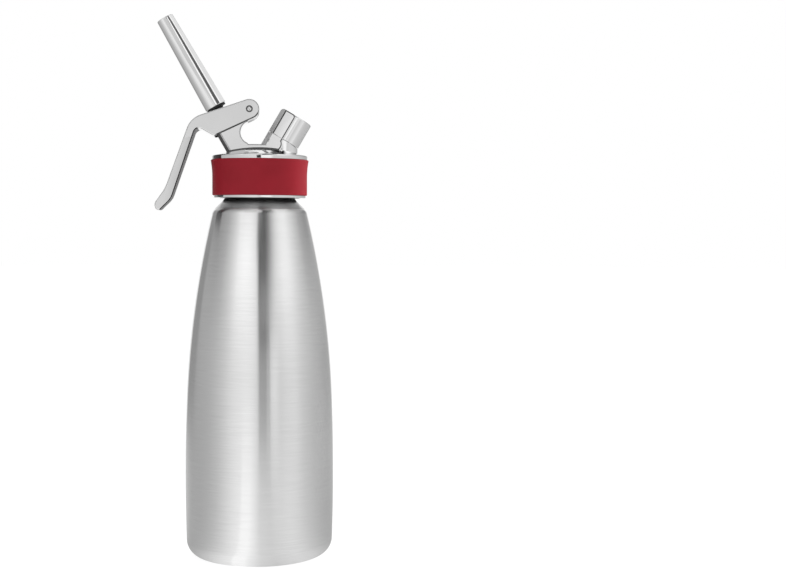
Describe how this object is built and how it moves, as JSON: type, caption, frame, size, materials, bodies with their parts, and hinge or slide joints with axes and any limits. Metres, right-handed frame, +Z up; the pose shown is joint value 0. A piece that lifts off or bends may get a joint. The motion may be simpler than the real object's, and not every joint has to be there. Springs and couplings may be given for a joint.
{
  "type": "whipped cream dispenser",
  "caption": "Stainless cream whipper: pressed bottle, screw-on head with hand lever, tilted valve and long nozzle, and a gas charger port under a pull-off cap",
  "frame": {"origin": "centre of the bottle's base, on the surface that it stands on", "axes": "+Z up along the bottle, nozzle and lever toward -X, charger port toward +X, +Y away from the viewer"},
  "size_m": [0.1146, 0.096, 0.3489],
  "materials": {
    "brushed_bottle": "brushed",
    "polished_head": "polished",
    "cast_lever": "satin",
    "polished_tube": "polished",
    "turned_steel": "turned",
    "spring_steel": "drawn",
    "red_silicone": "matte",
    "black_rubber": "matte"
  },
  "bodies": {
    "bottle": {"bottle": "brushed_bottle"},
    "gasket": {"head_gasket": "red_silicone"},
    "head": {"head_casting": "polished_head", "silicone_band": "red_silicone", "stem_guide_bush": "turned_steel", "stem_oring": "black_rubber", "return_spring": "spring_steel", "lever_pin": "turned_steel", "pin_carrier": "turned_steel", "piercing_pin": "turned_steel", "charger_seal": "black_rubber", "check_valve_spring": "spring_steel"},
    "lever": {"lever": "cast_lever"},
    "valve": {"valve_stem": "turned_steel", "valve_seal": "black_rubber", "nozzle_adapter": "turned_steel"},
    "nozzle_ring": {"nozzle_seal": "black_rubber"},
    "nozzle": {"nozzle": "polished_tube"},
    "cap": {"protective_cap": "polished_head", "cap_liner": "black_rubber"},
    "check_valve": {"check_valve_disc": "black_rubber"}
  },
  "joints": [
    {"name": "head_lift", "type": "slide", "parent": "bottle", "child": "gasket", "axis": [0, 0, 1], "range_m": [0, 0.045]},
    {"name": "head_turn", "type": "hinge", "parent": "gasket", "child": "head", "pos_m": [0, 0, 0.252], "axis": [0, 0, 1], "range_deg": [0, 540]},
    {"name": "lever_press", "type": "hinge", "parent": "head", "child": "lever", "pos_m": [-0.00666, 0, 0.28833], "axis": [0, -1, 0], "range_deg": [0, 11], "stiffness_Nm_per_rad": 5, "springref_deg": -1.72},
    {"name": "valve_slide", "type": "slide", "parent": "head", "child": "valve", "axis": [0.5, 0, -0.866], "range_m": [0, 0.0023], "deforming": ["return_spring"]},
    {"name": "nozzle_lift", "type": "slide", "parent": "valve", "child": "nozzle_ring", "axis": [-0.5, 0, 0.866], "range_m": [0, 0.012]},
    {"name": "nozzle_turn", "type": "hinge", "parent": "nozzle_ring", "child": "nozzle", "pos_m": [-0.02815, 0, 0.29036], "axis": [-0.5, 0, 0.866], "range_deg": [0, 720]},
    {"name": "cap_pull", "type": "slide", "parent": "head", "child": "cap", "axis": [0.5, 0, 0.866], "range_m": [0, 0.022]},
    {"name": "check_open", "type": "slide", "parent": "head", "child": "check_valve", "axis": [-0.5, 0, -0.866], "range_m": [0, 0.001], "stiffness_N_per_m": 200, "springref_m": -0.001, "deforming": ["check_valve_spring"]}
  ],
  "couplings": [
    {"joint": "valve_slide", "follows": "lever_press", "m_per_rad": 0.0112}
  ]
}
